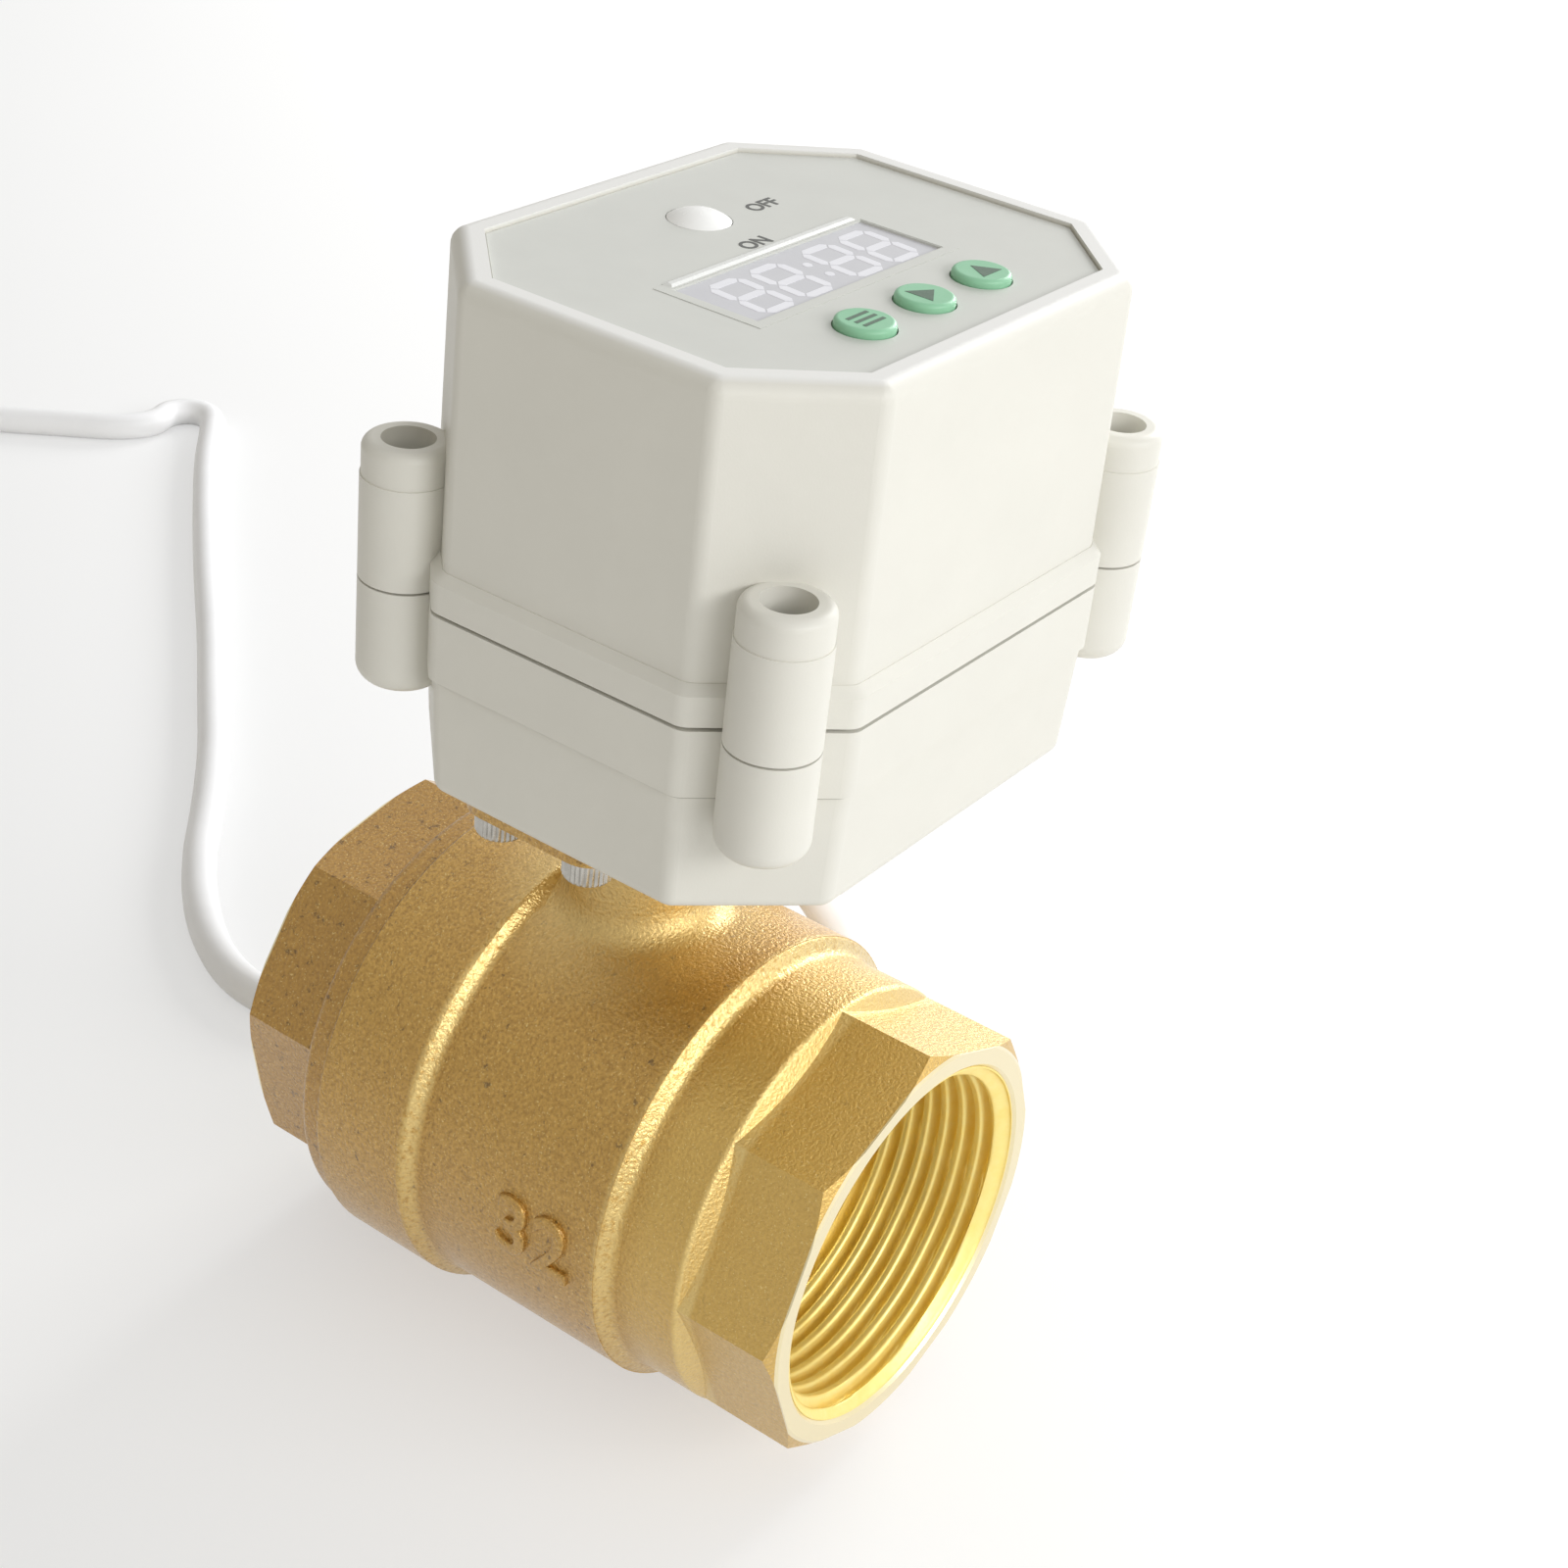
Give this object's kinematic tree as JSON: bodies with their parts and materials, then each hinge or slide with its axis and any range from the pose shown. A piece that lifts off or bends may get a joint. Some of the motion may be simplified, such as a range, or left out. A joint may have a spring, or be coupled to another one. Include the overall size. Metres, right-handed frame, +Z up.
{
  "type": "motorized control valve",
  "caption": "Threaded brass ball valve with a flanged electric actuator, panel display, push buttons, position lens and a short cable.",
  "frame": {"origin": "on the standing surface, under the middle of the pipe's axis", "axes": "+Z up along the valve stem, +Y along the pipe from the front port to the rear port, +X to the right of the panel as it is read"},
  "size_m": [0.1685, 0.3145, 0.1333],
  "materials": {
    "cast_brass": "sandblasted casting with machined faces",
    "plated_ball": "polished plating",
    "turned_brass": "turned",
    "seat_plastic": "smooth",
    "seal_rubber": "matte",
    "nickel_screws": "nickel plated",
    "case_plastic": "fine moulded grain",
    "film_plastic": "satin print film",
    "clear_plastic": "clear moulding",
    "display_black": "tinted",
    "button_rubber": "satin",
    "switch_plastic": "moulded",
    "steel": "turned and milled",
    "gear_steel": "cut teeth",
    "gear_plastic": "moulded teeth",
    "plate_steel": "zinc plated sheet",
    "motor_can": "drawn can",
    "motor_plastic": "moulded",
    "cam_plastic": "moulded",
    "board_green": "coated laminate",
    "board_black": "moulded",
    "terminal_green": "moulded",
    "pointer_red": "moulded",
    "cable_white": "satin sheath",
    "lead_colours": "insulated cores"
  },
  "bodies": {
    "valve": {"valve_body": "cast_brass", "end_adapter": "cast_brass", "body_seal": "seal_rubber", "front_seat": "seat_plastic", "rear_seat": "seat_plastic", "thrust_washer": "seat_plastic", "stem_bush": "seat_plastic", "flange_screws": "nickel_screws", "lower_case": "case_plastic", "upper_case": "case_plastic", "case_gasket": "seal_rubber", "case_screws": "nickel_screws", "panel_film": "film_plastic", "shaft_seal": "seal_rubber", "shaft_bush": "turned_brass", "idler_axles": "steel", "bottom_plate": "plate_steel", "top_plate": "plate_steel", "frame_pillars": "turned_brass", "frame_screws": "nickel_screws", "gear_motor": "motor_can", "motor_cap": "motor_plastic", "limit_switches": "switch_plastic", "switch_spacer": "board_black", "switch_screws": "nickel_screws", "control_board": "board_green", "board_screws": "nickel_screws", "board_parts": "board_black", "board_terminal": "terminal_green", "display_module": "display_black", "display_window": "clear_plastic", "button_switches": "switch_plastic", "position_lens": "clear_plastic", "strain_relief": "cable_white", "power_cable": "cable_white", "cable_leads": "lead_colours"},
    "drive": {"ball": "plated_ball", "stem": "turned_brass", "stem_rings": "seal_rubber", "drive_coupling": "steel", "output_shaft": "steel", "output_gear": "gear_steel", "position_cams": "cam_plastic", "position_pointer": "pointer_red"},
    "second_gear": {"second_idler": "gear_steel"},
    "first_gear": {"first_idler": "gear_plastic"},
    "motor_rotor": {"motor_pinion": "turned_brass", "motor_shaft": "steel"},
    "set_key": {"set_button": "button_rubber", "set_plunger": "switch_plastic"},
    "next_key": {"next_button": "button_rubber", "next_plunger": "switch_plastic"},
    "up_key": {"up_button": "button_rubber", "up_plunger": "switch_plastic"}
  },
  "joints": [
    {"name": "output_turn", "type": "hinge", "parent": "valve", "child": "drive", "pos_m": [0, 0.0014, 0.09], "axis": [0, 0, 1], "range_deg": [0, 90]},
    {"name": "second_gear_turn", "type": "hinge", "parent": "valve", "child": "second_gear", "pos_m": [0, -0.0146, 0.095], "axis": [0, 0, 1], "range_deg": [-210, 0]},
    {"name": "first_gear_turn", "type": "hinge", "parent": "valve", "child": "first_gear", "pos_m": [0.01418, -0.0121, 0.095], "axis": [0, 0, 1], "range_deg": [0, 630]},
    {"name": "motor_turn", "type": "hinge", "parent": "valve", "child": "motor_rotor", "pos_m": [0.01418, -0.0001, 0.1], "axis": [0, 0, 1], "range_deg": [-1890, 0]},
    {"name": "set_press", "type": "slide", "parent": "valve", "child": "set_key", "axis": [0, 0, -1], "range_m": [0, 0.0005], "stiffness_N_per_m": 60, "springref_m": -0.002},
    {"name": "next_press", "type": "slide", "parent": "valve", "child": "next_key", "axis": [0, 0, -1], "range_m": [0, 0.0005], "stiffness_N_per_m": 60, "springref_m": -0.002},
    {"name": "up_press", "type": "slide", "parent": "valve", "child": "up_key", "axis": [0, 0, -1], "range_m": [0, 0.0005], "stiffness_N_per_m": 60, "springref_m": -0.002}
  ],
  "couplings": [
    {"joint": "second_gear_turn", "follows": "output_turn", "ratio": -2.3333},
    {"joint": "first_gear_turn", "follows": "output_turn", "ratio": 7},
    {"joint": "motor_turn", "follows": "output_turn", "ratio": -21}
  ]
}
